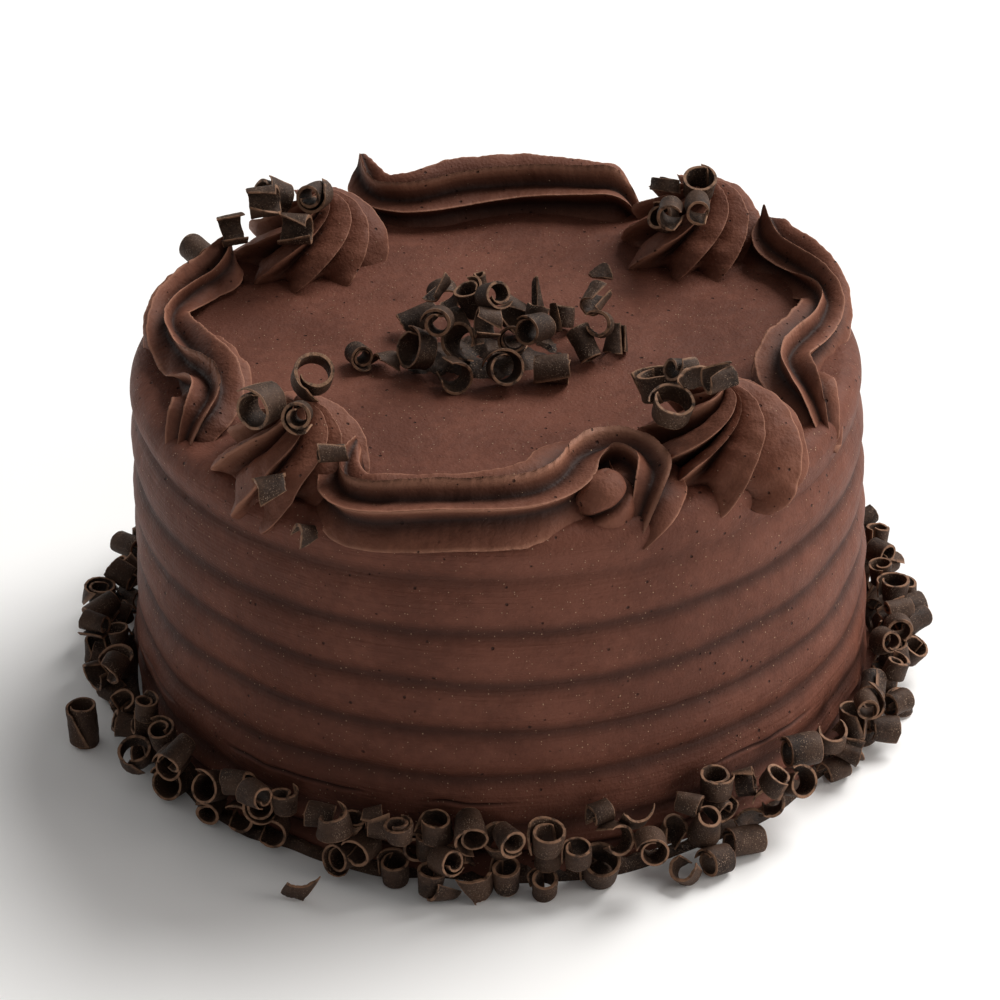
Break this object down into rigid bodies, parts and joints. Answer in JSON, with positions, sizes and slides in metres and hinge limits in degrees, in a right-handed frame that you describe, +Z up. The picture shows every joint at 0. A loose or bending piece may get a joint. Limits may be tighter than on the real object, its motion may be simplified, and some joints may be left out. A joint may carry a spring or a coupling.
{
  "type": "layer cake",
  "caption": "Round chocolate layer cake with a combed side, a piped border of scrolls and rosettes, and chocolate curls in heaps and round its foot.",
  "frame": {"origin": "middle of the cake's flat underside", "axes": "+Z up through the middle of the top, -Y towards the front of the picture, +X to the right as seen from the front"},
  "size_m": [0.2434, 0.2445, 0.1338],
  "materials": {
    "buttercream": "satin chocolate buttercream, combed into ridges, with fine air pits and pale specks",
    "piped_buttercream": "satin piped chocolate buttercream with sharp crests and fine air pits",
    "dark_chocolate": "dull dark chocolate with paler broken edges and a speckled bloom"
  },
  "bodies": {
    "root": {"cake": "buttercream", "curls_centre": "dark_chocolate", "curls_foot": "dark_chocolate", "scroll_front": "piped_buttercream", "scroll_left": "piped_buttercream", "scroll_back": "piped_buttercream", "scroll_right": "piped_buttercream", "rosette_front_left": "piped_buttercream", "curl_front_left_1": "dark_chocolate", "curl_front_left_2": "dark_chocolate", "curl_front_left_3": "dark_chocolate", "curl_front_left_4": "dark_chocolate", "curl_front_left_5": "dark_chocolate", "curl_front_left_6": "dark_chocolate", "rosette_front_right": "piped_buttercream", "curl_front_right_1": "dark_chocolate", "curl_front_right_2": "dark_chocolate", "curl_front_right_3": "dark_chocolate", "curl_front_right_4": "dark_chocolate", "curl_front_right_5": "dark_chocolate", "rosette_back_left": "piped_buttercream", "curl_back_left_1": "dark_chocolate", "curl_back_left_2": "dark_chocolate", "curl_back_left_3": "dark_chocolate", "curl_back_left_4": "dark_chocolate", "curl_back_left_5": "dark_chocolate", "rosette_back_right": "piped_buttercream", "curl_back_right_1": "dark_chocolate", "curl_back_right_2": "dark_chocolate", "curl_back_right_3": "dark_chocolate", "curl_back_right_4": "dark_chocolate", "curl_back_right_5": "dark_chocolate", "loose_curl_left": "dark_chocolate", "loose_curl_back": "dark_chocolate", "loose_flake_top": "dark_chocolate"}
  },
  "joints": []
}
